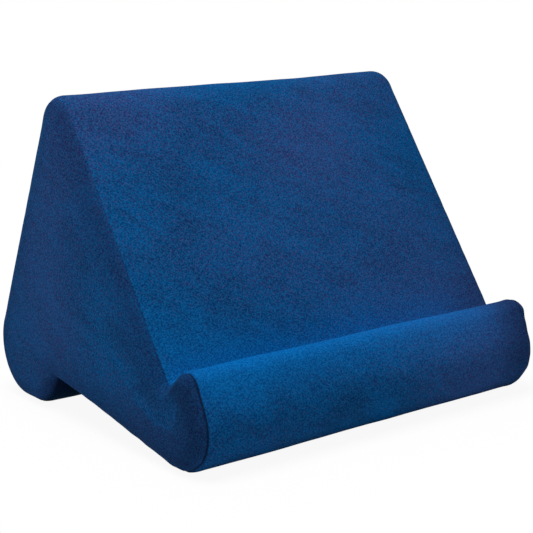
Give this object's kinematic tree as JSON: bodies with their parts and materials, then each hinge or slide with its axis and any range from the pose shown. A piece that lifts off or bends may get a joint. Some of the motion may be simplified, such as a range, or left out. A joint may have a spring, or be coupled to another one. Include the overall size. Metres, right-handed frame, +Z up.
{
  "type": "tablet cushion stand",
  "caption": "Wedge-shaped foam cushion in a velour cover, with a sloping face, a rolled front lip above a groove, and a rear roll, that props up a tablet or a book.",
  "frame": {"origin": "middle of the footprint, on the surface that it stands on", "axes": "+X along the width, the sloping face and its lip look towards -Y, the back towards +Y, +Z up"},
  "size_m": [0.28, 0.2329, 0.205],
  "materials": {
    "blue_velour": "short-pile velour, matt with a soft sheen",
    "foam": "open-cell foam, matt"
  },
  "bodies": {
    "root": {"foam_core": "foam", "main_panel": "blue_velour", "base_panel": "blue_velour", "left_side_panel": "blue_velour", "right_side_panel": "blue_velour"}
  },
  "joints": []
}
